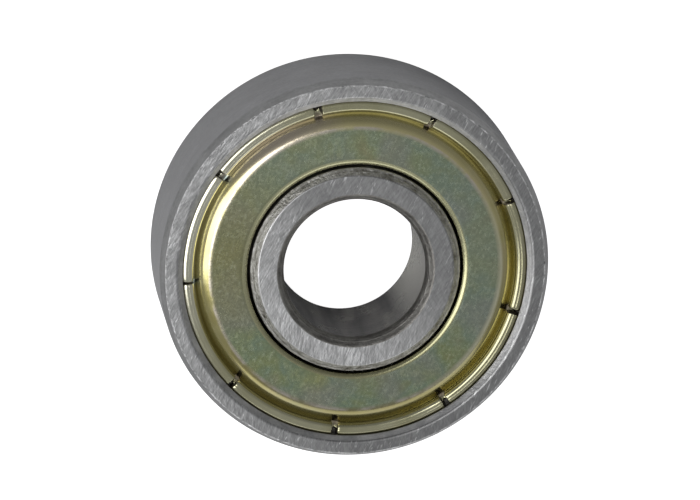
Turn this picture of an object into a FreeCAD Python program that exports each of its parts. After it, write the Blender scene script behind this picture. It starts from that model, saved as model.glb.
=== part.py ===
"""Shielded deep-groove ball bearing, 8 x 22 x 7 mm, lengths in millimetres.

+Z is the bearing's axis and the origin is its centre. The outer ring carries two pressed sheet
shields. The inner ring, the riveted two-piece cage and the seven balls turn inside it.
"""
import FreeCAD, Part
import math
import os

# --- boundary dimensions of the standard size ---
BORE_RADIUS = 4.0
OUTSIDE_RADIUS = 11.0
WIDTH = 7.0

# --- balls and raceways ---
BALL_COUNT = 7
BALL_RADIUS = 25.4 * 5 / 32 / 2          # 5/32 inch balls
PITCH_RADIUS = 7.5                       # circle of the ball centres
RADIAL_GAP = 0.0125                      # between a ball and the bottom of each groove
GROOVE_RADIUS = 0.52 * 2 * BALL_RADIUS   # groove section, a little slacker than the ball
INNER_LAND_RADIUS = 6.05                 # shoulder beside the inner groove
OUTER_LAND_RADIUS = 8.75                 # shoulder beside the outer groove

# --- outer ring ends ---
OUTER_CORNER_RADIAL = 0.27
OUTER_CORNER_AXIAL = 0.65
FACE_INNER_RADIUS = 10.05                # where the flat side face stops
LIP_RADIUS = 9.73                        # lip that holds the shield in
LIP_TOP = 3.24
LIP_BOTTOM = 3.14
UNDERCUT_RADIUS = 9.90                   # groove that the shield's curled edge snaps into
UNDERCUT_TOP = 2.95
LEDGE_HEIGHT = 2.45                      # seat under the shield

# --- inner ring ends ---
BORE_CORNER_RADIAL = 0.45
BORE_CORNER_AXIAL = 0.55
RECESS_RADIUS = 5.93                     # turned-down end inside the shield's rim
RECESS_START = 2.40
RECESS_SLOPE = 0.12
INNER_BEVEL_RADIUS = 5.50
INNER_BEVEL_BOTTOM = 3.16

# --- shields, pressed from sheet ---
SHEET = 0.25
SHIELD_TOP = 3.20                        # flat annulus
SHIELD_INNER_RADIUS = 6.12
RIM_BEND = 0.27                          # outside radius of the bend at the inner rim
RIM_END = 2.72                           # how far down the inner rim is turned
SHOULDER_START = 8.10                    # flat annulus ends and the sheet slopes down
SLOPE_ANGLE = 38.0                       # steepest part of that slope, from the flat, degrees
SHOULDER_BEND = 0.90                     # upper face's radius at the top of that slope
VALLEY_BEND = 0.30                       # upper face's radius at its foot
CURL_CENTRE_RADIUS = 9.47
CURL_RADIUS = 0.38                       # outside radius of the curled edge
CURL_END = 195.0                         # section angle where the curled edge stops, degrees
SLOT_COUNT = 9
SLOT_WIDTH = 0.30
SLOT_FLOOR_RADIUS = 8.80                 # slots run from here out through the curl
REAR_SHIELD_TURN = 13.0                  # the two shields' slots aren't lined up, degrees

# --- cage, two pressed halves and seven rivets ---
CAGE_SHEET = 0.30
CAGE_INNER_RADIUS = 6.65
CAGE_OUTER_RADIUS = 8.35
POCKET_GAP = 0.09
RIVET_RADIUS = 0.40
RIVET_HEAD_RADIUS = 0.62
RIVET_HEAD_HEIGHT = 0.26

HALF_WIDTH = WIDTH / 2
BALL_STEP = 360.0 / BALL_COUNT
CENTRE = FreeCAD.Vector(0, 0, 0)
X_AXIS = FreeCAD.Vector(1, 0, 0)
Z_AXIS = FreeCAD.Vector(0, 0, 1)


def section_point(point):
    """A point (radius, height) of a section, in the X-Z plane."""
    return FreeCAD.Vector(point[0], 0, point[1])


def turned(start, *steps):
    """Solid of revolution about +Z, from a section that ends where it starts.

    A step is the section's next point, or (point on the arc, next point).
    """
    edges = []
    here = start
    for step in steps:
        if isinstance(step[0], tuple):
            middle, there = step
            arc = Part.Arc(section_point(here), section_point(middle), section_point(there))
            edges.append(arc.toShape())
        else:
            there = step
            edges.append(Part.LineSegment(section_point(here), section_point(there)).toShape())
        here = there
    face = Part.Face(Part.Wire(edges))
    solid = face.revolve(CENTRE, Z_AXIS, 360)
    if solid.Volume < 0:
        solid.reverse()
    return solid


def flipped(point):
    """The same section point on the rear half."""
    return (point[0], -point[1])


def on_circle(centre, radius, degrees):
    """Section point on a circle, with 0 degrees outward and 90 degrees up."""
    angle = math.radians(degrees)
    return (centre[0] + radius * math.cos(angle), centre[1] + radius * math.sin(angle))


def make_outer_ring():
    """Ring with its raceway groove, and at each end a seat, an undercut and a lip for a shield."""
    groove_bottom = PITCH_RADIUS + BALL_RADIUS + RADIAL_GAP
    groove_depth = OUTER_LAND_RADIUS - (groove_bottom - GROOVE_RADIUS)
    groove_edge = (OUTER_LAND_RADIUS, math.sqrt(GROOVE_RADIUS ** 2 - groove_depth ** 2))
    end = [
        (OUTER_LAND_RADIUS, LEDGE_HEIGHT),
        (UNDERCUT_RADIUS, LEDGE_HEIGHT),
        (UNDERCUT_RADIUS, UNDERCUT_TOP),
        (LIP_RADIUS, LIP_BOTTOM),
        (LIP_RADIUS, LIP_TOP),
        (FACE_INNER_RADIUS, HALF_WIDTH),
        (OUTSIDE_RADIUS - OUTER_CORNER_RADIAL, HALF_WIDTH),
        (OUTSIDE_RADIUS, HALF_WIDTH - OUTER_CORNER_AXIAL),
    ]
    rear_end = [flipped(point) for point in reversed(end)]
    raceway = ((groove_bottom, 0.0), groove_edge)
    return turned(groove_edge, *end, *rear_end, flipped(groove_edge), raceway)


def make_inner_ring():
    """Ring with its raceway groove, a chamfered bore and turned-down, bevelled ends."""
    groove_bottom = PITCH_RADIUS - BALL_RADIUS - RADIAL_GAP
    groove_depth = (groove_bottom + GROOVE_RADIUS) - INNER_LAND_RADIUS
    groove_edge = (INNER_LAND_RADIUS, math.sqrt(GROOVE_RADIUS ** 2 - groove_depth ** 2))
    end = [
        (INNER_LAND_RADIUS, RECESS_START),
        (RECESS_RADIUS, RECESS_START + RECESS_SLOPE),
        (RECESS_RADIUS, INNER_BEVEL_BOTTOM),
        (INNER_BEVEL_RADIUS, HALF_WIDTH),
        (BORE_RADIUS + BORE_CORNER_RADIAL, HALF_WIDTH),
        (BORE_RADIUS, HALF_WIDTH - BORE_CORNER_AXIAL),
    ]
    rear_end = [flipped(point) for point in reversed(end)]
    raceway = ((groove_bottom, 0.0), groove_edge)
    return turned(groove_edge, *end, *rear_end, flipped(groove_edge), raceway)


def make_shield():
    """Front shield: turned-down inner rim, flat annulus, slope, valley and curled slotted edge."""
    shoulder_inside = SHOULDER_BEND - SHEET
    valley_outside = VALLEY_BEND + SHEET
    slope = math.radians(SLOPE_ANGLE)
    bend_sum = SHOULDER_BEND + VALLEY_BEND
    straight_drop = SHIELD_TOP - SHEET - LEDGE_HEIGHT - bend_sum * (1 - math.cos(slope))
    slope_run = bend_sum * math.sin(slope) + straight_drop / math.tan(slope)
    upper_bend = (SHOULDER_START, SHIELD_TOP - SHOULDER_BEND)
    valley_start = SHOULDER_START + slope_run
    lower_bend = (valley_start, LEDGE_HEIGHT + valley_outside)
    curl = (CURL_CENTRE_RADIUS, LEDGE_HEIGHT + CURL_RADIUS)
    curl_inside = CURL_RADIUS - SHEET
    rim_bend = (SHIELD_INNER_RADIUS + RIM_BEND, SHIELD_TOP - RIM_BEND)
    rim_inside = RIM_BEND - SHEET

    def bend(centre, radius, middle, end):
        return (on_circle(centre, radius, middle), on_circle(centre, radius, end))

    shield = turned(
        (SHIELD_INNER_RADIUS, RIM_END),
        on_circle(rim_bend, RIM_BEND, 180),
        bend(rim_bend, RIM_BEND, 135, 90),
        (SHOULDER_START, SHIELD_TOP),
        bend(upper_bend, SHOULDER_BEND, 90 - SLOPE_ANGLE / 2, 90 - SLOPE_ANGLE),
        on_circle(lower_bend, VALLEY_BEND, 270 - SLOPE_ANGLE),
        bend(lower_bend, VALLEY_BEND, 270 - SLOPE_ANGLE / 2, 270),
        (CURL_CENTRE_RADIUS, LEDGE_HEIGHT + SHEET),
        bend(curl, curl_inside, 0, 90),
        bend(curl, curl_inside, 135, CURL_END),
        on_circle(curl, CURL_RADIUS, CURL_END),
        bend(curl, CURL_RADIUS, 135, 90),
        bend(curl, CURL_RADIUS, 0, -90),
        (valley_start, LEDGE_HEIGHT),
        bend(lower_bend, valley_outside, 270 - SLOPE_ANGLE / 2, 270 - SLOPE_ANGLE),
        on_circle(upper_bend, shoulder_inside, 90 - SLOPE_ANGLE),
        bend(upper_bend, shoulder_inside, 90 - SLOPE_ANGLE / 2, 90),
        (rim_bend[0], SHIELD_TOP - SHEET),
        bend(rim_bend, rim_inside, 135, 180),
        (SHIELD_INNER_RADIUS + SHEET, RIM_END),
        (SHIELD_INNER_RADIUS, RIM_END),
    )
    slot_length = OUTSIDE_RADIUS - SLOT_FLOOR_RADIUS
    for index in range(SLOT_COUNT):
        slot = Part.makeBox(slot_length, SLOT_WIDTH, WIDTH)
        slot.translate(FreeCAD.Vector(SLOT_FLOOR_RADIUS, -SLOT_WIDTH / 2, 0))
        slot.rotate(CENTRE, Z_AXIS, index * 360.0 / SLOT_COUNT)
        shield = shield.cut(slot)
    return shield.Solids[0]


def at_pitch(shape, degrees):
    """A copy moved out to the pitch circle and turned about the bearing's axis."""
    placed = shape.copy()
    placed.translate(FreeCAD.Vector(PITCH_RADIUS, 0, 0))
    placed.rotate(CENTRE, Z_AXIS, degrees)
    return placed


def make_cage_half():
    """Front half of the ribbon cage: a flat web with a cup over each ball and a hole per rivet."""
    pocket_radius = BALL_RADIUS + POCKET_GAP
    band = Part.makeCylinder(CAGE_OUTER_RADIUS, WIDTH / 2)
    band = band.cut(Part.makeCylinder(CAGE_INNER_RADIUS, WIDTH / 2))
    half = Part.makeCylinder(CAGE_OUTER_RADIUS, CAGE_SHEET)
    for index in range(BALL_COUNT):
        cup = Part.makeSphere(pocket_radius + CAGE_SHEET, CENTRE, Z_AXIS, 0, 90, 360)
        half = half.fuse(at_pitch(cup, index * BALL_STEP))
    half = half.common(band)
    for index in range(BALL_COUNT):
        half = half.cut(at_pitch(Part.makeSphere(pocket_radius), index * BALL_STEP))
        hole = Part.makeCylinder(RIVET_RADIUS, CAGE_SHEET)
        half = half.cut(at_pitch(hole, (index + 0.5) * BALL_STEP))
    return half.removeSplitter().Solids[0]


def make_rivet():
    """Rivet with a low domed head on each face of the cage."""
    tip = CAGE_SHEET + RIVET_HEAD_HEIGHT
    dome_radius = (RIVET_HEAD_RADIUS ** 2 + RIVET_HEAD_HEIGHT ** 2) / (2 * RIVET_HEAD_HEIGHT)
    dome_half_angle = math.degrees(math.asin(RIVET_HEAD_RADIUS / dome_radius))
    dome_centre = (0.0, tip - dome_radius)
    dome_middle = on_circle(dome_centre, dome_radius, 90 - dome_half_angle / 2)
    return turned(
        (0.0, -tip),
        (flipped(dome_middle), (RIVET_HEAD_RADIUS, -CAGE_SHEET)),
        (RIVET_RADIUS, -CAGE_SHEET),
        (RIVET_RADIUS, CAGE_SHEET),
        (RIVET_HEAD_RADIUS, CAGE_SHEET),
        (dome_middle, (0.0, tip)),
        (0.0, -tip),
    )


def main():
    """Write every piece of the bearing to its own STEP file."""
    pieces = {
        "outer_ring": make_outer_ring(),
        "inner_ring": make_inner_ring(),
        "front_shield": make_shield(),
        "cage_half_front": make_cage_half(),
    }
    rear_shield = pieces["front_shield"].copy()
    rear_shield.rotate(CENTRE, X_AXIS, 180)
    rear_shield.rotate(CENTRE, Z_AXIS, REAR_SHIELD_TURN)
    pieces["rear_shield"] = rear_shield
    cage_half_rear = pieces["cage_half_front"].copy()
    cage_half_rear.rotate(CENTRE, X_AXIS, 180)
    pieces["cage_half_rear"] = cage_half_rear
    ball = Part.makeSphere(BALL_RADIUS)
    rivet = make_rivet()
    for index in range(BALL_COUNT):
        number = index + 1
        pieces[f"ball_{number}"] = at_pitch(ball, index * BALL_STEP)
        pieces[f"cage_rivet_{number}"] = at_pitch(rivet, (index + 0.5) * BALL_STEP)

    os.makedirs("parts", exist_ok=True)
    for name, shape in pieces.items():
        shape.exportStep(f"parts/{name}.step")
        print(f"{name:18s} valid={shape.isValid()} volume={shape.Volume:9.4f} mm3")


main()
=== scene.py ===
"""Looks of the shielded ball bearing: detailed rings, shields, balls, cage and rivets on the CAD frame.

Sections are written in millimetres as (radius, height), and finished meshes are scaled to metres.
Image angles run counter-clockwise from the picture's right, about the bearing's axis.
"""

import math

import bmesh
import bpy
import numpy as np
from mathutils import Matrix, Vector


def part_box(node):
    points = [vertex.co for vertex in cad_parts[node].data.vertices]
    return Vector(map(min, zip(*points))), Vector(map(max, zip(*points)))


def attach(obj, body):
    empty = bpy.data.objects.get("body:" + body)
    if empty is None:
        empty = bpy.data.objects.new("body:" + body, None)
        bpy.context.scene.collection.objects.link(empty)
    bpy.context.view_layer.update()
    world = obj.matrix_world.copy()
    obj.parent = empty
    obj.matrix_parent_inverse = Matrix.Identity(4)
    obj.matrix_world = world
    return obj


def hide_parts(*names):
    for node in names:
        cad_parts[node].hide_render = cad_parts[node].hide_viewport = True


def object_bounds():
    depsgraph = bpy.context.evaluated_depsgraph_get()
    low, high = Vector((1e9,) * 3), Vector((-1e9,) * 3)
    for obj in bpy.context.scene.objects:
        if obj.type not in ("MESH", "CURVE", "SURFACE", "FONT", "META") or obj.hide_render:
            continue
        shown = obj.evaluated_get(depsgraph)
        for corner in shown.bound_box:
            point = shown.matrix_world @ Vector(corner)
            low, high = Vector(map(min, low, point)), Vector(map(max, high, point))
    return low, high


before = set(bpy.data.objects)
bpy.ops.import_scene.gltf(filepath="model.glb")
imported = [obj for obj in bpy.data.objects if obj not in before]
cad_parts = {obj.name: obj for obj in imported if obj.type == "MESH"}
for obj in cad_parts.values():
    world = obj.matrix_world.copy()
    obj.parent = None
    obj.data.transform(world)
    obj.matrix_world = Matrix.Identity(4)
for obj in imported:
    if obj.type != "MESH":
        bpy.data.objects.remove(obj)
cad_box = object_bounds()

MM = 0.001

# --- rings and balls, in millimetres ---
BALL_COUNT = 7
PITCH_RADIUS = 7.50                     # of the circle that the balls' centres lie on
GROOVE_RADIUS = 2.064                   # 52 % of a ball's diameter
GROOVE_SHIFT = 0.067                    # of a groove's centre from the pitch circle, away from the groove

# --- shields, in millimetres and radians ---
SHEET = 0.25                            # thickness
WELD = 0.0005                           # corners of a bevelled sheet that are nearer than this become one
CURL_START = 9.30                       # radius where the valley turns up into the curl
CURL_MIDDLE = 9.47                      # radius of the middle of the curl
CURL_RADIUS = 0.255                     # of the middle of the curled sheet
CURL_HEIGHT = 0.76                      # from the shield's seat to the top of the curl
SLOT_COUNT = 9
SLOT_PITCH = 2 * math.pi / SLOT_COUNT
SLOT_START = 9.40                       # radius where the slots begin, under the curl
SLOT_OPENINGS = (0.110, 0.130, 0.190, 0.150, 0.050, 0.120, 0.150, 0.150, 0.110)     # half widths, less STRIP
DENT_RADIUS = 8.98                      # radius of the dent beside each slot
DENT_DEPTH = 0.022
TAB_ROUNDING = 0.20                     # length of the rounded ends of the tabs between the slots
TAB_SWAY = (0.010, 0.012, 0.006)        # most that a tab's level, bow and ripple add to its height
TAB_DROP = 0.012                        # how far a tab without them lies below the section's line
TAB_DRAW = (0.26, 0.30)                 # shares of the way to the curl's middle that a tab's ends move
TAB_COLUMNS = 30
STRIP_COLUMNS = 6                       # of the strip that a slot is cut from
STRIP = 0.03                            # half of that strip's width where there is no slot

# --- camera, as the object was seen, in metres and radians ---
VIEW_TILT = math.radians(17.17)         # between the bearing's axis and the line of sight
VIEW_LEAN = math.radians(-65.39)        # image angle that the axis leans to
FIRST_SLOT_IMAGE = math.radians(24.0)   # image angle of the +X axis
CAMERA_DISTANCE = 0.30
LENS = 272.4                            # millimetres, on a sensor 36 mm wide
CENTRE_OFFSET = (-0.000089, -0.000251)  # of the bearing's centre from the picture's centre

# --- surround, in metres ---
FLOOR_SIZE = 3.0                        # half of its side
FLOOR_GAP = 0.00002                     # keeps the floor off the ring's face, which lies in its plane
SHADED_SIDE = 75                        # image angle of the dimmer side of the surround
BACKDROP = 1.06                         # strength that the camera sees, as pale as the floor


def from_first_slot(image_angle):
    """Angle about the bearing's axis, in radians from +X, of an image angle in degrees."""
    return math.radians(image_angle) - FIRST_SLOT_IMAGE


# ---------------------------------------------------------------- sections and meshes

def arc(centre, radius, start, end, steps):
    """Points on a circle of the section, from start to end degrees, 0 being outward and 90 up."""
    angles = np.radians(np.linspace(start, end, steps + 1))
    return [(centre[0] + radius * math.cos(a), centre[1] + radius * math.sin(a)) for a in angles]


def rounded(corners, steps=6, support=0.03, longest=0.7):
    """Dense closed section from corners (radius, height, fillet, finish of what follows).

    Every fillet becomes a curve, and a straight stretch gets a support point near each end, so
    that smooth shading stays on the curves.
    """
    count = len(corners)
    places = [np.array(corner[:2], float) for corner in corners]
    trims = []
    for i, corner in enumerate(corners):
        back, ahead = places[i - 1] - places[i], places[(i + 1) % count] - places[i]
        shorter = min(np.linalg.norm(back), np.linalg.norm(ahead))
        back, ahead = back / np.linalg.norm(back), ahead / np.linalg.norm(ahead)
        half = math.acos(max(-1.0, min(1.0, float(back @ ahead)))) / 2
        trim = min(corner[2] / math.tan(half), 0.45 * shorter) if corner[2] else 0.0
        trims.append((places[i] + back * trim, places[i] + ahead * trim))
    points, finishes = [], []
    for i, corner in enumerate(corners):
        first, last = trims[i]
        run = trims[(i + 1) % count][0] - last
        length = np.linalg.norm(run)
        curve = np.linspace(0, 1, steps + 1) if corner[2] else [0.0]
        found = [(1 - t) ** 2 * first + 2 * t * (1 - t) * places[i] + t * t * last for t in curve]
        if length > 4 * support:
            inner = {support / length, 1 - support / length}
            inner |= set(np.linspace(0, 1, int(length / longest) + 2)[1:-1])
            found += [last + run * t for t in sorted(inner)]
        points += found
        finishes += [corner[3]] * len(found)
    return np.array(points), finishes


def both_ends(front, closing):
    """The whole section from its front half. closing is the finish of the stretch that joins them."""
    finishes = [corner[3] for corner in front[-2::-1]] + [closing]
    rear = [(r, -z, fillet, name) for (r, z, fillet, _), name in zip(front[::-1], finishes)]
    return front + rear


def new_piece(name, vertices, faces, materials, indices=None):
    """A smooth-shaded object from millimetre vertices."""
    mesh = bpy.data.meshes.new(name)
    mesh.from_pydata([tuple(v) for v in vertices], [], [tuple(f) for f in faces])
    for material in materials:
        mesh.materials.append(material)
    if indices is not None:
        mesh.polygons.foreach_set("material_index", indices)
    edit = bmesh.new()
    edit.from_mesh(mesh)
    bmesh.ops.recalc_face_normals(edit, faces=edit.faces)
    edit.to_mesh(mesh)
    edit.free()
    mesh.shade_smooth()
    piece = bpy.data.objects.new(name, mesh)
    bpy.context.scene.collection.objects.link(piece)
    return piece


def to_metres(piece):
    """Applies the modifiers, welds what they left too close, and scales the mesh to metres."""
    graph = bpy.context.evaluated_depsgraph_get()
    mesh = bpy.data.meshes.new_from_object(piece.evaluated_get(graph))
    if piece.modifiers:
        edit = bmesh.new()
        edit.from_mesh(mesh)
        bmesh.ops.remove_doubles(edit, verts=edit.verts, dist=WELD)
        edit.to_mesh(mesh)
        edit.free()
    piece.modifiers.clear()
    piece.data = mesh
    mesh.transform(Matrix.Scale(MM, 4))
    return piece


def turned(name, corners, materials, columns=288, centre=(0.0, 0.0)):
    """A ring turned about an upright axis from a closed section."""
    points, finishes = rounded(corners)
    names = list(materials)
    rows = len(points)
    angles = np.linspace(0, 2 * math.pi, columns, endpoint=False)
    vertices = [(centre[0] + r * math.cos(a), centre[1] + r * math.sin(a), z)
                for a in angles for r, z in points]
    faces, indices = [], []
    for column in range(columns):
        following = (column + 1) % columns
        for row in range(rows):
            below = (row + 1) % rows
            faces.append((column * rows + row, following * rows + row,
                          following * rows + below, column * rows + below))
            indices.append(names.index(finishes[row]))
    return to_metres(new_piece(name, vertices, faces, [materials[n] for n in names], indices))


# ---------------------------------------------------------------- materials

class Nodes:
    """A short way to write the nodes of a material or of the world."""

    def __init__(self, owner):
        owner.use_nodes = True
        self.owner = owner
        self.tree = owner.node_tree
        self.coordinates = self.add("ShaderNodeTexCoord")
        self.place = self.coordinates.outputs["Object"]

    def add(self, kind, inputs=None, **settings):
        node = self.tree.nodes.new(kind)
        for key, value in settings.items():
            setattr(node, key, value)
        for key, value in (inputs or {}).items():
            self.put(node.inputs[key], value)
        return node

    def put(self, socket, value):
        if isinstance(value, bpy.types.NodeSocket):
            self.tree.links.new(value, socket)
        else:
            socket.default_value = value

    def math(self, operation, a, b=0.0, c=0.0):
        return self.add("ShaderNodeMath", {0: a, 1: b, 2: c}, operation=operation).outputs[0]

    def total(self, *terms):
        """Sum of values, each times its weight."""
        total = 0.0
        for value, weight in terms:
            total = self.math("MULTIPLY_ADD", value, weight, total)
        return total

    def mapped(self, scale, turn=0.0, vector=None):
        """Object coordinates turned about Z, then scaled. Scales are in features per millimetre."""
        spun = self.add("ShaderNodeMapping", {"Vector": vector or self.place, "Rotation": (0, 0, turn)})
        sized = self.add("ShaderNodeMapping", {"Vector": spun.outputs[0],
                                               "Scale": tuple(s / MM for s in scale)})
        return sized.outputs[0]

    def noise(self, vector, detail=3.0, roughness=0.55, distortion=0.0):
        node = self.add("ShaderNodeTexNoise", {"Vector": vector, "Scale": 1.0, "Detail": detail,
                                               "Roughness": roughness, "Distortion": distortion})
        return node.outputs["Fac"]

    def even_noise(self, scale, detail=3.0, roughness=0.55, distortion=0.0):
        """Noise with the same number of features per millimetre in every direction."""
        return self.noise(self.mapped((scale, scale, scale)), detail, roughness, distortion)

    def ramp(self, value, low, high, start=0.0, end=1.0):
        node = self.add("ShaderNodeMapRange", {"Value": value, "From Min": low, "From Max": high,
                                               "To Min": start, "To Max": end})
        node.clamp = True
        return node.outputs[0]

    def colours(self, value, stops):
        node = self.add("ShaderNodeValToRGB", {"Fac": value})
        ramp = node.color_ramp
        while len(ramp.elements) < len(stops):
            ramp.elements.new(1.0)
        for element, (position, colour) in zip(ramp.elements, stops):
            element.position = position
            element.color = (*colour, 1.0)
        return node.outputs["Color"]

    def mix(self, share, a, b):
        node = self.add("ShaderNodeMix", data_type="RGBA")
        for socket, value in (("Factor", share), ("A", a), ("B", b)):
            target = [s for s in node.inputs if s.name == socket and s.enabled][0]
            self.put(target, (*value, 1.0) if isinstance(value, tuple) else value)
        return [s for s in node.outputs if s.enabled][0]

    def bump(self, height, distance):
        return self.add("ShaderNodeBump", {"Height": height, "Distance": distance}).outputs["Normal"]

    def flat(self):
        """The place without its height."""
        parts = self.add("ShaderNodeSeparateXYZ", {0: self.place})
        return self.add("ShaderNodeCombineXYZ", {0: parts.outputs[0], 1: parts.outputs[1]}).outputs[0]

    def height(self):
        return self.add("ShaderNodeSeparateXYZ", {0: self.place}).outputs[2]

    def radius(self):
        """Distance from the bearing's axis, in millimetres."""
        length = self.add("ShaderNodeVectorMath", {0: self.flat()}, operation="LENGTH")
        return self.math("DIVIDE", length.outputs["Value"], MM)

    def towards(self, image_angle):
        """How far round the axis towards an image angle a place is, from -1 to 1."""
        a = from_first_slot(image_angle)
        unit = self.add("ShaderNodeVectorMath", {0: self.flat()}, operation="NORMALIZE")
        node = self.add("ShaderNodeVectorMath", {0: unit.outputs[0], 1: (math.cos(a), math.sin(a), 0)},
                        operation="DOT_PRODUCT")
        return node.outputs["Value"]

    def tinted(self, colour, image_angle, low, high, share, tint):
        """The colour, drawn to a tint towards an image angle."""
        return self.mix(self.ramp(self.towards(image_angle), low, high, 0.0, share), colour, tint)

    def scratches(self, image_angle, across, along, detail=2.0, distortion=0.15):
        """Noise drawn out along an image angle. Frequencies are per millimetre."""
        turn = math.pi / 2 - from_first_slot(image_angle)
        return self.noise(self.mapped((across, along, 1.0), turn), detail, 0.65, distortion)

    def attribute(self, name):
        return self.add("ShaderNodeAttribute", attribute_name=name).outputs["Fac"]

    def set(self, **values):
        """Sets the sockets of the material's shader, and returns the material."""
        shader = self.tree.nodes["Principled BSDF"]
        for key, value in values.items():
            self.put(shader.inputs[key.replace("_", " ")], value)
        return self.owner


def finish(name):
    """Nodes of a new material."""
    return Nodes(bpy.data.materials.new(name))


def grey(level):
    return (level, level, level)


def ground_steel(name, sheen_side, upright_side, painted_lift):
    """Ring side faces: short grinding scratches over soft clouds, deepest on one side, where the colour is
    painted lighter as a painted sheen; the last argument lifts every level, painted light.
    """
    n = finish(name)
    slanted = n.scratches(54, 11.0, 2.2)
    upright = n.scratches(86, 11.0, 1.8)
    crossing = n.scratches(120, 10.0, 1.0)
    hair = n.scratches(63, 20.0, 1.0, 1.0)
    main = n.mix(n.ramp(n.towards(upright_side), -0.1, 0.8), slanted, upright)
    # Painted sheen: the side towards the given image angle is painted lighter, and is scratched deeper and
    # rougher.
    sheen_share = n.ramp(n.towards(sheen_side), -0.35, 0.85)
    streaks = n.total((main, 0.60), (hair, 0.25), (crossing, n.ramp(sheen_share, 0.0, 1.0, 0.30, 0.10)))
    fine = n.even_noise(7.0, 2)
    cloud = n.even_noise(0.6, 4, 0.6)
    tone = n.total((streaks, 0.85), (cloud, 0.15))
    # The first ramp is the steel's colour; the second is its painted sheen; both are lifted by the last
    # argument, painted light.
    plain = n.colours(tone, [(0.38, grey(0.225 * painted_lift)), (0.52, grey(0.275 * painted_lift)),
                             (0.66, grey(0.36 * painted_lift))])
    sheen_colour = n.colours(tone, [(0.40, grey(0.34 * painted_lift)), (0.52, grey(0.53 * painted_lift)),
                              (0.64, grey(0.83 * painted_lift))])
    colour = n.mix(sheen_share, plain, sheen_colour)
    single = n.scratches(68, 11.0, 1.6, 1.0, 0.3)
    glint = n.math("MULTIPLY", n.ramp(single, 0.62, 0.70), n.ramp(cloud, 0.40, 0.60, 0.0, 0.8))
    colour = n.mix(glint, colour, grey(0.92))
    height = n.math("MULTIPLY", n.total((streaks, 1.0), (fine, 0.20)), n.ramp(sheen_share, 0.0, 1.0, 0.22, 0.60))
    return n.set(Base_Color=colour, Metallic=1.0, Roughness=n.ramp(sheen_share, 0.0, 1.0, 0.36, 0.40),
                 Normal=n.bump(height, 0.000040))


def turned_steel(name, dark, light, roughness, lines=22.0, depth=0.000004, mottle=0.5, drawn=0.25):
    """Bevels, wall and raceways: fine marks that run round the axis, over soft clouds."""
    n = finish(name)
    section = n.add("ShaderNodeCombineXYZ", {0: n.math("MULTIPLY", n.radius(), MM), 1: n.height()})
    marks = n.noise(n.mapped((lines, lines, 1.0), 0.0, section.outputs[0]), 2)
    cloud = n.noise(n.mapped((mottle, mottle, 2.5 * mottle)), 4, 0.6)
    grain = n.even_noise(5.5, 3, 0.7)
    tone = n.total((marks, drawn), (cloud, 0.75 - drawn), (grain, 0.25))
    colour = n.colours(tone, [(0.35, dark), (0.65, light)])
    return n.set(Base_Color=colour, Metallic=1.0,
                 Roughness=n.ramp(cloud, 0.3, 0.7, roughness - 0.05, roughness + 0.07),
                 Normal=n.bump(n.total((marks, 0.5), (grain, 1.0)), depth))


def ground_bore():
    """The bore: dark, smooth and streaky, with soft stripes along the axis and a painted reflection towards
    image angle 346.
    """
    n = finish("ring_bore_ground")
    heights = n.add("ShaderNodeCombineXYZ", {0: n.height()})
    marks = n.noise(n.mapped((8.0, 1.0, 1.0), 0.0, heights.outputs[0]), 2)
    stripes = n.noise(n.mapped((0.8, 0.8, 0.12)), 2, 0.5, 0.4)
    cloud = n.even_noise(0.7, 4, 0.6)
    tone = n.total((stripes, 0.50), (cloud, 0.30), (marks, 0.20))
    colour = n.colours(tone, [(0.38, (0.12, 0.115, 0.125)), (0.50, (0.26, 0.25, 0.25)),
                              (0.62, (0.46, 0.45, 0.42))])
    # Painted reflection: paler towards image angle 346.
    colour = n.tinted(colour, 346, 0.78, 1.0, 0.85, (0.90, 0.89, 0.83))
    return n.set(Base_Color=colour, Metallic=1.0, Roughness=n.ramp(cloud, 0.3, 0.7, 0.20, 0.30),
                 Normal=n.bump(n.total((stripes, 1.0), (marks, 0.1)), 0.000030))


def annulus_colour(n, tints, mottle):
    """Flat of the shield: green, olive and grey-green clouds."""
    patches = n.even_noise(0.34, 2, 0.5, 0.6)
    tone = n.total((patches, 0.65), (tints, 0.25), (mottle, 0.10))
    colour = n.colours(tone, [(0.34, (0.39, 0.38, 0.19)), (0.44, (0.36, 0.42, 0.22)),
                              (0.52, (0.31, 0.40, 0.28)), (0.58, (0.35, 0.42, 0.25)),
                              (0.68, (0.43, 0.45, 0.22))])
    clouds = n.noise(n.mapped((0.28, 0.28, 0.28), 1.0), 2, 0.5)
    colour = n.mix(n.ramp(clouds, 0.50, 0.64, 0.0, 0.70), colour, (0.37, 0.38, 0.33))
    colour = n.mix(n.ramp(clouds, 0.47, 0.36, 0.0, 0.60), colour, (0.38, 0.41, 0.18))
    colour = n.tinted(colour, 170, 0.70, 1.0, 0.80, (0.39, 0.37, 0.19))
    colour = n.tinted(colour, 110, 0.55, 1.0, 0.35, (0.45, 0.49, 0.36))
    return n.tinted(colour, 15, 0.50, 1.0, 0.50, (0.35, 0.41, 0.36))


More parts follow.
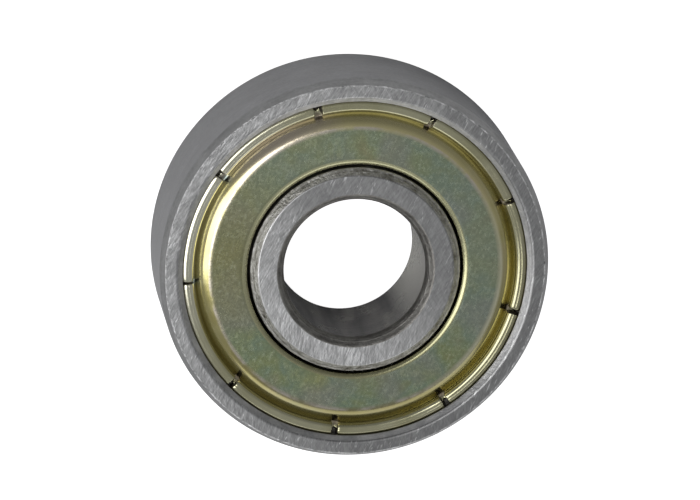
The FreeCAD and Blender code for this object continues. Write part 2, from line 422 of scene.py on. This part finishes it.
def slope_colour(n, radius, tints, drift):
    """Shoulder, slope and valley: gold, paler on the crest, with painted light and shade by image angle and
    a darker, browner valley that is painted shade.
    """
    colour = n.colours(drift, [(0.36, (0.57, 0.51, 0.21)), (0.50, (0.64, 0.59, 0.29)),
                               (0.58, (0.66, 0.58, 0.31)), (0.66, (0.57, 0.57, 0.34))])
    # Painted light and shade: paler gold towards image angle 95, darker towards 290.
    colour = n.tinted(colour, 95, 0.1, 0.9, 0.80, (0.86, 0.78, 0.42))
    colour = n.tinted(colour, 290, 0.0, 0.9, 0.85, (0.29, 0.26, 0.125))
    # The valley's darker brown is painted shade: darkest towards image angle 340 and lighter towards 252.
    valley = n.tinted((0.42, 0.38, 0.20), 340, 0.65, 1.0, 0.80, (0.30, 0.27, 0.13))
    valley = n.tinted(valley, 252, 0.60, 1.0, 0.75, (0.68, 0.63, 0.40))
    colour = n.mix(n.ramp(radius, 8.40, 8.90, 0.0, 0.80), colour, valley)
    # Painted sheen: pink-violet towards image angle 120.
    colour = n.tinted(colour, 120, 0.90, 1.0, 0.55, (0.74, 0.63, 0.62))
    pale = n.math("MULTIPLY", n.ramp(radius, 8.32, 8.22), n.ramp(tints, 0.42, 0.58, 0.1, 0.9))
    colour = n.mix(pale, colour, (0.84, 0.75, 0.66))
    # Painted highlight on the crest towards image angle 345.
    crest = n.math("MULTIPLY", n.ramp(radius, 8.42, 8.28), n.ramp(n.towards(345), 0.60, 1.0, 0.0, 0.85))
    return n.mix(crest, colour, (0.88, 0.86, 0.62))


def curl_colour(n, drift):
    """Curled edge: grey-gold, with painted shade towards image angle 350 and a painted highlight, palest
    towards image angle 160.
    """
    colour = n.colours(drift, [(0.38, (0.55, 0.53, 0.33)), (0.62, (0.65, 0.63, 0.43))])
    colour = n.tinted(colour, 350, 0.5, 1.0, 0.6, (0.42, 0.40, 0.26))
    return n.tinted(colour, 160, 0.6, 1.0, 0.8, (0.93, 0.91, 0.76))


def plated_sheet():
    """Passivated zinc on the shields: green, olive and gold with a fine grain, and painted light and shade:
    lighter and darker by image angle, a violet painted sheen and painted shade beside the slots.
    """
    n = finish("shield_passivated")
    radius = n.radius()
    tints = n.even_noise(0.9)
    mottle = n.even_noise(3.0, 3, 0.7)
    drift = n.even_noise(0.5, 1)
    colour = n.mix(n.ramp(radius, 8.02, 8.26), annulus_colour(n, tints, mottle),
                   slope_colour(n, radius, tints, drift))
    colour = n.mix(n.ramp(radius, 9.00, 9.15), colour, curl_colour(n, drift))
    # Inner rim: painted light and shade, lighter towards image angle 105 and darker on the far side.
    lip = n.mix(n.ramp(n.towards(105), -1.0, 1.0), (0.40, 0.39, 0.23), (0.72, 0.71, 0.44))
    colour = n.mix(n.ramp(radius, 6.42, 6.36), colour, lip)

    grain = n.even_noise(6.0, 3, 0.7)
    speck = n.total((grain, 0.6), (n.scratches(70, 8.0, 1.2, 2.0, 0.3), 0.4))
    on_flat = n.math("MULTIPLY", n.ramp(radius, 8.0, 8.4, 1.0, 0.08), n.ramp(radius, 6.42, 6.54, 0.08, 1.0))
    light_specks = n.math("MULTIPLY", n.ramp(speck, 0.50, 0.70, 0.0, 0.38), on_flat)
    dark_specks = n.math("MULTIPLY", n.ramp(speck, 0.48, 0.34, 0.0, 0.24), on_flat)
    colour = n.mix(light_specks, colour, (0.78, 0.82, 0.62))
    colour = n.mix(dark_specks, colour, (0.24, 0.28, 0.20))

    # Beside each slot: painted shade, a dark brown patch for the slot's shadow and its dark reflection in
    # the valley, greyer green towards image angle 165 and darkest under the curl; it is rougher there too.
    slot_shade = n.math("MULTIPLY", n.attribute("near_slot"), n.ramp(tints, 0.35, 0.6, 0.85, 1.0))
    slot_shade_colour = n.tinted((0.27, 0.215, 0.165), 165, 0.60, 0.90, 1.0, (0.32, 0.38, 0.36))
    slot_shade_colour = n.mix(n.ramp(radius, 9.06, 9.24), slot_shade_colour, (0.15, 0.125, 0.10))
    colour = n.mix(slot_shade, colour, slot_shade_colour)

    radii = n.add("ShaderNodeCombineXYZ", {0: n.math("MULTIPLY", radius, MM)})
    drawn = n.noise(n.mapped((9.0, 1.0, 1.0), 0.0, radii.outputs[0]), 2)
    calm = n.math("MULTIPLY", n.ramp(radius, 8.0, 8.4, 0.40, 0.12), n.ramp(radius, 6.42, 6.54, 0.20, 1.0))
    height = n.total((speck, on_flat), (mottle, calm), (drawn, n.ramp(radius, 9.05, 9.20, 0.0, 2.5)))
    roughness = n.total((n.ramp(mottle, 0.3, 0.7, 0.22, 0.30), n.ramp(radius, 8.0, 8.3, 1.0, 0.72)),
                        (slot_shade, n.ramp(radius, 9.00, 9.16, 0.0, 0.35)))
    return n.set(Base_Color=colour, Metallic=1.0, Roughness=roughness, Normal=n.bump(height, 0.000006))


def cut_edge():
    """Sheared edges of the shields: dull, oily and darker than the plating."""
    n = finish("shield_cut_edge")
    sheared = n.noise(n.mapped((5.0, 5.0, 1.2)), 3, 0.7)
    film = n.even_noise(2.0, 2)
    tone = n.total((sheared, 0.6), (film, 0.4))
    colour = n.colours(tone, [(0.38, (0.18, 0.165, 0.13)), (0.62, (0.36, 0.33, 0.26))])
    return n.set(Base_Color=colour, Metallic=1.0, Roughness=n.ramp(film, 0.3, 0.7, 0.40, 0.55),
                 Normal=n.bump(sheared, 0.000010))


def lapped_steel():
    """Balls: bright lapped steel with a very fine random haze."""
    n = finish("ball_lapped")
    haze = n.even_noise(1.2, 4, 0.6)
    colour = n.colours(haze, [(0.35, (0.60, 0.60, 0.61)), (0.65, (0.74, 0.74, 0.75))])
    return n.set(Base_Color=colour, Metallic=1.0, Roughness=n.ramp(haze, 0.3, 0.7, 0.07, 0.13),
                 Normal=n.bump(n.even_noise(20.0, 2), 0.0000005))


def pressed_steel(name, dark, light, roughness):
    """Cage and rivets: cold-rolled strip, drawn marks and oil-darkened patches."""
    n = finish(name)
    drawn = n.scratches(24, 10.0, 1.0)
    patches = n.even_noise(0.9, 4, 0.6, 0.4)
    grain = n.even_noise(12.0, 2)
    colour = n.colours(n.total((drawn, 0.35), (patches, 0.65)), [(0.36, dark), (0.64, light)])
    return n.set(Base_Color=colour, Metallic=1.0,
                 Roughness=n.ramp(patches, 0.3, 0.7, roughness - 0.05, roughness + 0.08),
                 Normal=n.bump(n.total((drawn, 1.0), (grain, 0.5)), 0.000005))


# ---------------------------------------------------------------- pieces

def outer_ring(finishes):
    """Outer ring, with a seat, an undercut and a lip for each shield."""
    half_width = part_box("outer_ring")[1].z / MM
    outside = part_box("outer_ring")[1].x / MM
    land, undercut, lip = 8.75, 9.90, 9.73              # radii
    seat = 2.45                                         # height of the shield's seat
    groove = arc((PITCH_RADIUS - GROOVE_SHIFT, 0.0), GROOVE_RADIUS, 2.0, 50.3, 12)
    front = [(r, z, 0.0, "raceway") for r, z in groove[:-1]]
    front += [
        (land, 1.589, 0.04, "turned"),
        (land, seat, 0.03, "turned"),
        (undercut, seat, 0.03, "turned"),
        (undercut, seat + 0.50, 0.04, "turned"),
        (lip, 3.14, 0.02, "turned"),
        (lip, 3.24, 0.04, "bevel"),
        (10.05, half_width, 0.26, "face"),
        (outside - 0.34, half_width, 0.03, "edge"),
        (outside - 0.26, half_width - 0.03, 0.04, "corner"),
        (outside, half_width - 0.65, 0.20, "wall"),
    ]
    return turned("outer_ring_detailed", both_ends(front, "raceway"), finishes)


def inner_ring(finishes):
    """Inner ring, with chamfered bore and turned-down, bevelled ends."""
    half_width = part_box("inner_ring")[1].z / MM
    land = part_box("inner_ring")[1].x / MM
    bore, turned_down, face_edge = 4.00, 5.93, 5.50     # radii
    groove = arc((PITCH_RADIUS + GROOVE_SHIFT, 0.0), GROOVE_RADIUS, 178.0, 137.3, 12)
    front = [(r, z, 0.0, "raceway") for r, z in groove[:-1]]
    front += [
        (land, 1.3995, 0.04, "turned"),
        (land, 2.40, 0.03, "turned"),
        (turned_down, 2.52, 0.03, "turned"),
        (turned_down, 3.16, 0.05, "inner_bevel"),
        (face_edge, half_width, 0.12, "inner_face"),
        (bore + 0.41, half_width, 0.12, "chamfer"),
        (bore + 0.08, half_width - 0.36, 0.50, "chamfer"),
        (bore, half_width - 0.72, 0.40, "bore"),
    ]
    return turned("inner_ring_detailed", both_ends(front, "raceway"), finishes)


def shield_line():
    """Middle line of the shield's sheet, from its inner rim to the free edge of its curl."""
    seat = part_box("front_shield")[1].z / MM - CURL_HEIGHT
    valley = seat + SHEET / 2
    rim, flat, shoulder = 6.245, 3.075, 0.775           # radius, height, radius of the bend
    line = [(rim, 2.72), (rim, 2.86), (rim, 3.062), (6.36, 3.070), (6.46, flat)]
    line += [(r, flat) for r in np.linspace(6.52, 8.0, 9)]
    line += arc((8.10, flat - shoulder), shoulder, 90, 52, 12)
    slope_end = arc((9.153, valley + 0.425), 0.425, 232, 270, 6)
    line += [tuple(p) for p in np.linspace(line[-1], slope_end[0], 7)[1:-1]] + slope_end
    line += [(9.25, valley), (9.36, valley)]
    for angle in np.linspace(-90, 195, 41):
        c, s = math.cos(math.radians(angle)), math.sin(math.radians(angle))
        power = 1.0 if s < 0 else 0.98 if c > 0 else 0.74   # squarer on the side that faces the axis
        radius = CURL_RADIUS - 0.022 * math.exp(-((angle - 98) / 13) ** 2)      # a faint groove on top
        line.append((CURL_MIDDLE + radius * math.copysign(abs(c) ** power, c),
                     seat + CURL_HEIGHT / 2 + radius * math.copysign(abs(s) ** power, s)))
    return np.array(line)


def slot_half_width(along, wide):
    """Half of a slot's width at a length along the sheet past the slot's rounded end."""
    if along < 0:
        return STRIP
    ending = min(1.0, (along + 0.02) / 0.12)
    return wide * math.sqrt(1 - (1 - ending) ** 2) + STRIP


def slot_columns(slot, r, here, after):
    """Angles of a slot's strip of columns and of the tab after it, each with its share of the tab.

    here and after are half the widths of this slot and the next. In the strip the share is None.
    """
    middle, following = slot * SLOT_PITCH, (slot + 1) * SLOT_PITCH
    left, right = middle - math.asin(here / r), middle + math.asin(here / r)
    end = following - math.asin(after / r)
    share = np.linspace(0, 1, TAB_COLUMNS + 1)[:-1]
    share = share - 0.85 * np.sin(2 * math.pi * share) / (2 * math.pi)      # denser near the slots
    strip = [(angle, None) for angle in np.linspace(left, right, STRIP_COLUMNS + 1)[:-1]]
    return strip + [(right + (end - right) * s, s) for s in share]


def near_dent(r, aside):
    """How much of a dent's depth a place has, aside being its distance from the slot's middle."""
    return math.exp(-(aside / 0.30) ** 2 - ((r - DENT_RADIUS) / 0.16) ** 2)


def slot_shade_strength(r, aside):
    """The painted shade of a slot: it ends softly inside the dent and runs on under the curl."""
    inside, outside = min(0.0, r - DENT_RADIUS), max(0.0, r - DENT_RADIUS)
    return math.exp(-(aside / 0.22) ** 2 - (inside / 0.26) ** 2 - outside / 1.6)


def tab_place(r, z, share, from_end, around, sway, curl_height):
    """A point of a tab: a little uneven along the tab, and sunk at the tab's rounded ends.

    around is 0 at both edges of the curl and 1 halfway round it. sway is three random numbers
    from -1 to 1: for the tab's height, its bow and where its ripple begins.
    """
    level = TAB_SWAY[0] * sway[0]
    bow = TAB_SWAY[1] * sway[1] * math.sin(math.pi * share)
    ripple = TAB_SWAY[2] * math.sin(2 * math.pi * (2 * share + sway[2]))
    z += min(0.0, level + bow + ripple - TAB_DROP) * around     # never above the section's line
    sink = 1 - math.sqrt(1 - (1 - min(1.0, max(0.0, from_end / TAB_ROUNDING))) ** 2)
    r += TAB_DRAW[0] * sink * (CURL_MIDDLE - r) * around
    z += TAB_DRAW[1] * sink * (curl_height - z) * around
    return r, z


def curled_sheet(seed):
    """The shield's middle sheet: vertices, faces and the painted slot shade at each vertex."""
    line = shield_line()
    steps = np.linalg.norm(np.diff(line, axis=0), axis=1)
    length = np.concatenate([[0.0], np.cumsum(steps)])
    slot_start = int(np.argmax(line[:, 0] > SLOT_START))
    curl_start = int(np.argmax(line[:, 0] > CURL_START))
    curl_height = float(line[-20:, 1].mean())           # of its part from near the top to the free edge
    sway = np.random.default_rng(seed).uniform(-1, 1, (SLOT_COUNT, 3))
    rows = len(line)
    per_slot = STRIP_COLUMNS + TAB_COLUMNS
    columns = SLOT_COUNT * per_slot
    vertices = np.zeros((columns, rows, 3))
    slot_shades = np.zeros((columns, rows))
    for row in range(rows):
        r, z = line[row]
        halves = [slot_half_width(length[row] - length[slot_start], wide) for wide in SLOT_OPENINGS]
        round_curl = (length[row] - length[curl_start]) / (length[-1] - length[curl_start])
        around = math.sin(math.pi * min(1, round_curl))
        for slot in range(SLOT_COUNT):
            here, after = halves[slot], halves[(slot + 1) % SLOT_COUNT]
            for j, (angle, share) in enumerate(slot_columns(slot, r, here, after)):
                column = slot * per_slot + j
                aside = min(abs(angle - slot * SLOT_PITCH), abs(angle - (slot + 1) * SLOT_PITCH)) * r
                radius, height = r, z
                if row < curl_start:
                    height -= DENT_DEPTH * near_dent(r, aside)
                    slot_shades[column, row] = slot_shade_strength(r, aside)
                elif row > curl_start and share is not None:
                    from_end = aside - (here if share < 0.5 else after)
                    radius, height = tab_place(r, z, share, from_end, around, sway[slot], curl_height)
                vertices[column, row] = (radius * math.cos(angle), radius * math.sin(angle), height)
    faces = []
    for column in range(columns):
        following = (column + 1) % columns
        in_strip = column % per_slot < STRIP_COLUMNS
        for row in range(slot_start if in_strip else rows - 1):
            faces.append((column * rows + row, following * rows + row,
                          following * rows + row + 1, column * rows + row + 1))
    return vertices.reshape(-1, 3), faces, slot_shades.reshape(-1)


def shield(name, materials, flip, turn, seed):
    """A pressed shield: one sheet with its edge curled and split by slots."""
    vertices, faces, slot_shades = curled_sheet(seed)
    used = sorted({v for face in faces for v in face})
    place = {v: i for i, v in enumerate(used)}
    piece = new_piece(name, vertices[used], [[place[v] for v in face] for face in faces], materials)
    # near_slot carries the painted shade beside each slot to the material.
    layer = piece.data.attributes.new("near_slot", "FLOAT", "POINT")
    layer.data.foreach_set("value", slot_shades[used])
    thicken = piece.modifiers.new("sheet", "SOLIDIFY")
    thicken.thickness = SHEET
    thicken.offset = 0.0
    thicken.use_even_offset = True
    thicken.material_offset_rim = 1
    soften = piece.modifiers.new("edges", "BEVEL")
    soften.width = 0.055
    soften.segments = 3
    soften.material = 0
    soften.limit_method = "ANGLE"
    soften.angle_limit = math.radians(50)
    to_metres(piece)
    if flip:
        piece.data.transform(Matrix.Rotation(math.pi, 4, "X"))
    piece.data.transform(Matrix.Rotation(turn, 4, "Z"))
    return piece


def ball(name, centre, radius, material, cells=20):
    """A ball from a cube's grid pushed out to the sphere, so that it has no poles."""
    vertices, faces, seen = [], [], {}

    def vertex(x, y, z):
        key = (x, y, z)
        if key not in seen:
            spread = Vector([math.tan(v / cells * math.pi / 2 - math.pi / 4) for v in key])
            seen[key] = len(vertices)
            vertices.append(Vector(centre) + spread.normalized() * radius)
        return seen[key]

    for axis in range(3):
        for side in (0, cells):
            for i in range(cells):
                for j in range(cells):
                    corners = [(i, j), (i + 1, j), (i + 1, j + 1), (i, j + 1)]
                    places = [(*c[:axis], side, *c[axis:]) for c in corners]
                    faces.append([vertex(*place) for place in places])
    return to_metres(new_piece(name, vertices, faces, [material]))


def rivet(name, centre, material):
    """A cage rivet, with a low domed head at each end of its shank."""
    shank, head = 0.40, 0.62                            # radii
    seat, edge, tip = 0.30, 0.33, 0.56                  # heights of the head
    front = [(shank, seat, 0.0, "steel"), (head, seat, 0.03, "steel")]
    front += [(head * math.cos(a), edge + (tip - edge) * math.sin(a), 0.0, "steel")
              for a in np.radians([15, 30, 45, 60, 75])]
    front += [(0.02, tip, 0.0, "steel")]
    return turned(name, both_ends(front, "steel"), {"steel": material}, 48, centre)


# ---------------------------------------------------------------- stage

def direction(image_angle, elevation):
    """Unit vector towards an image angle, raised above the bearing's side face, both in degrees."""
    a = from_first_slot(image_angle)
    e = math.radians(elevation)
    return Vector((math.cos(e) * math.cos(a), math.cos(e) * math.sin(a), math.sin(e)))


def add_camera():
    """The camera where the object was seen from, rolled as the object was turned."""
    axis = Vector((math.sin(VIEW_TILT) * math.cos(VIEW_LEAN),
                   math.sin(VIEW_TILT) * math.sin(VIEW_LEAN), math.cos(VIEW_TILT)))
    lean = Vector((math.cos(VIEW_TILT) * math.cos(VIEW_LEAN),
                   math.cos(VIEW_TILT) * math.sin(VIEW_LEAN), -math.sin(VIEW_TILT)))
    side = axis.cross(lean)
    from_lean = FIRST_SLOT_IMAGE - VIEW_LEAN
    x_axis = math.cos(from_lean) * lean + math.sin(from_lean) * side
    y_axis = axis.cross(x_axis)
    to_camera = Matrix((x_axis, y_axis, axis)).transposed()
    offset = Vector((*CENTRE_OFFSET, -CAMERA_DISTANCE))
    place = -(to_camera.transposed() @ offset)
    data = bpy.data.cameras.new("camera")
    data.sensor_width = 36.0
    data.lens = LENS
    data.clip_start = 0.01
    data.clip_end = 10.0
    camera = bpy.data.objects.new("camera", data)
    camera.matrix_world = Matrix.Translation(place) @ to_camera.transposed().to_4x4()
    bpy.context.scene.collection.objects.link(camera)
    bpy.context.scene.camera = camera


def add_light(name, image_angle, elevation, distance, size, power):
    """A soft rectangular light that faces the bearing."""
    data = bpy.data.lights.new(name, "AREA")
    data.shape = "RECTANGLE"
    data.size, data.size_y = size
    data.energy = power
    light = bpy.data.objects.new(name, data)
    away = direction(image_angle, elevation)
    light.location = away * distance
    light.rotation_mode = "QUATERNION"
    light.rotation_quaternion = away.to_track_quat("Z", "Y")
    bpy.context.scene.collection.objects.link(light)


def add_floor():
    """A pale floor under the bearing, which the camera sees as white."""
    height = cad_box[0].z - FLOOR_GAP
    corners = [(-FLOOR_SIZE, -FLOOR_SIZE), (FLOOR_SIZE, -FLOOR_SIZE),
               (FLOOR_SIZE, FLOOR_SIZE), (-FLOOR_SIZE, FLOOR_SIZE)]
    mesh = bpy.data.meshes.new("floor")
    mesh.from_pydata([(x, y, height) for x, y in corners], [], [(0, 1, 2, 3)])
    floor = bpy.data.objects.new("floor", mesh)
    bpy.context.scene.collection.objects.link(floor)
    n = finish("floor_pale")
    ray = n.add("ShaderNodeLightPath")
    plain = n.add("ShaderNodeBsdfDiffuse", {"Color": (0.60, 0.60, 0.60, 1.0)})
    glow = n.add("ShaderNodeEmission", {"Color": (1.0, 1.0, 1.0, 1.0), "Strength": 1.0})
    both = n.add("ShaderNodeAddShader", {0: plain.outputs[0], 1: glow.outputs[0]})
    seen = n.add("ShaderNodeMixShader", {0: ray.outputs["Is Camera Ray"], 1: plain.outputs[0],
                                         2: both.outputs[0]})
    n.put(n.tree.nodes["Material Output"].inputs["Surface"], seen.outputs[0])
    mesh.materials.append(n.owner)


def add_surround():
    """A grey surround, dimmer overhead and on one side, which the camera sees as white."""
    n = Nodes(bpy.data.worlds.new("surround"))
    sky = n.coordinates.outputs["Generated"]
    height = n.add("ShaderNodeSeparateXYZ", {0: sky}).outputs["Z"]
    shaded = n.add("ShaderNodeVectorMath", {0: sky, 1: direction(SHADED_SIDE, 0)}, operation="DOT_PRODUCT")
    grey_strength = n.math("MULTIPLY", n.ramp(height, 0.0, 0.6, 0.45, 0.30),
                           n.ramp(shaded.outputs["Value"], 0.0, 1.0, 1.0, 0.50))
    ray = n.add("ShaderNodeLightPath")
    strength = n.add("ShaderNodeMix", {"Factor": ray.outputs["Is Camera Ray"], "A": grey_strength,
                                       "B": BACKDROP})
    background = n.tree.nodes["Background"]
    n.put(background.inputs["Color"], (0.97, 0.98, 1.0, 1.0))
    n.put(background.inputs["Strength"], strength.outputs["Result"])
    bpy.context.scene.world = n.owner


def add_stage():
    """Camera, floor, surround and lights."""
    add_camera()
    add_floor()
    add_surround()
    add_light("key", image_angle=182, elevation=58, distance=0.40, size=(0.24, 0.40), power=0.74)
    add_light("fill", image_angle=278, elevation=25, distance=0.45, size=(0.60, 0.28), power=0.38)


# ---------------------------------------------------------------- assembly

def ring_finishes():
    """Finishes of the outer ring and of the inner ring, by the names that their sections use."""
    shared = {
        # The lands, seats and undercuts are painted dark: painted shade of the recesses under the shields.
        "turned": turned_steel("ring_land_turned", (0.16, 0.155, 0.14), (0.34, 0.33, 0.31), 0.42),
        "raceway": turned_steel("raceway_honed", (0.55, 0.55, 0.56), (0.70, 0.70, 0.71), 0.18),
    }
    outer = {
        # Each face's colour is painted lighter towards its first angle, a painted sheen; the inner face's
        # colours are also lifted by 1.18, painted light.
        "face": ground_steel("outer_face_ground", 160, 265, 1.0),
        "bevel": turned_steel("ring_bevel_turned", (0.30, 0.30, 0.31), grey(0.66), 0.42,
                              depth=0.000030, mottle=0.9),
        "edge": turned_steel("ring_edge_worn", grey(0.16), grey(0.92), 0.34,
                             lines=6.0, depth=0.000120, mottle=3.0, drawn=0.10),
        "corner": turned_steel("ring_corner_turned", grey(0.31), grey(0.58), 0.34,
                               depth=0.000025, mottle=0.7),
        "wall": turned_steel("ring_wall_ground", (0.34, 0.34, 0.35), (0.60, 0.60, 0.61), 0.34,
                             lines=10.0, depth=0.000008, drawn=0.40),
    }
    inner = {
        "inner_face": ground_steel("inner_face_ground", 235, 255, 1.18),
        "inner_bevel": turned_steel("inner_bevel_turned", (0.15, 0.14, 0.12), (0.66, 0.65, 0.62), 0.34,
                                    lines=7.0, depth=0.000090, mottle=1.6),
        "chamfer": turned_steel("bore_chamfer_turned", (0.17, 0.16, 0.15), (0.47, 0.46, 0.43), 0.48,
                                lines=9.0, depth=0.000050, mottle=1.0),
        "bore": ground_bore(),
    }
    return {**outer, **shared}, {**inner, **shared}


def balls_and_rivets():
    """Each ball and rivet, with its body, the CAD node that it stands for and its material slot."""
    lapped = lapped_steel()
    headed = pressed_steel("rivet_headed", (0.30, 0.29, 0.28), (0.56, 0.55, 0.53), 0.32)
    pieces = []
    for number in range(1, BALL_COUNT + 1):
        node = f"ball_{number}"
        low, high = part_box(node)
        piece = ball(f"{node}_lapped", (low + high) / 2 / MM, (high.z - low.z) / 2 / MM, lapped)
        pieces.append((piece, node, node, "ball_steel"))
        node = f"cage_rivet_{number}"
        low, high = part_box(node)
        middle = (low + high) / 2 / MM
        piece = rivet(f"{node}_headed", (middle.x, middle.y), headed)
        pieces.append((piece, "cage", node, "rivet_steel"))
    return pieces


def finish_cage():
    """The CAD cage halves keep their shape and get a better material."""
    pressed = pressed_steel("cage_pressed", (0.32, 0.31, 0.29), (0.60, 0.58, 0.54), 0.34)
    for node in ("cage_half_front", "cage_half_rear"):
        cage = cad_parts[node]
        if not cage.material_slots:
            cage.data.materials.append(None)
        for material_slot in cage.material_slots:
            material_slot.material = pressed


def main():
    bpy.context.scene.view_settings.view_transform = "Standard"
    add_stage()
    outer_finishes, inner_finishes = ring_finishes()
    plating = (plated_sheet(), cut_edge())
    outer = outer_ring(outer_finishes)
    inner = inner_ring(inner_finishes)
    front = shield("front_shield_detailed", plating, flip=False, turn=0.0, seed=5)
    rear = shield("rear_shield_detailed", plating, flip=True, turn=math.radians(13.0), seed=8)
    pieces = [
        (outer, "outer", "outer_ring", "ring_steel"),
        (inner, "inner", "inner_ring", "ring_steel"),
        (front, "outer", "front_shield", "shield_plated"),
        (rear, "outer", "rear_shield", "shield_plated"),
    ]
    for piece, body, node, slot in pieces + balls_and_rivets():
        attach(piece, body)
        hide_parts(node)
    finish_cage()


main()
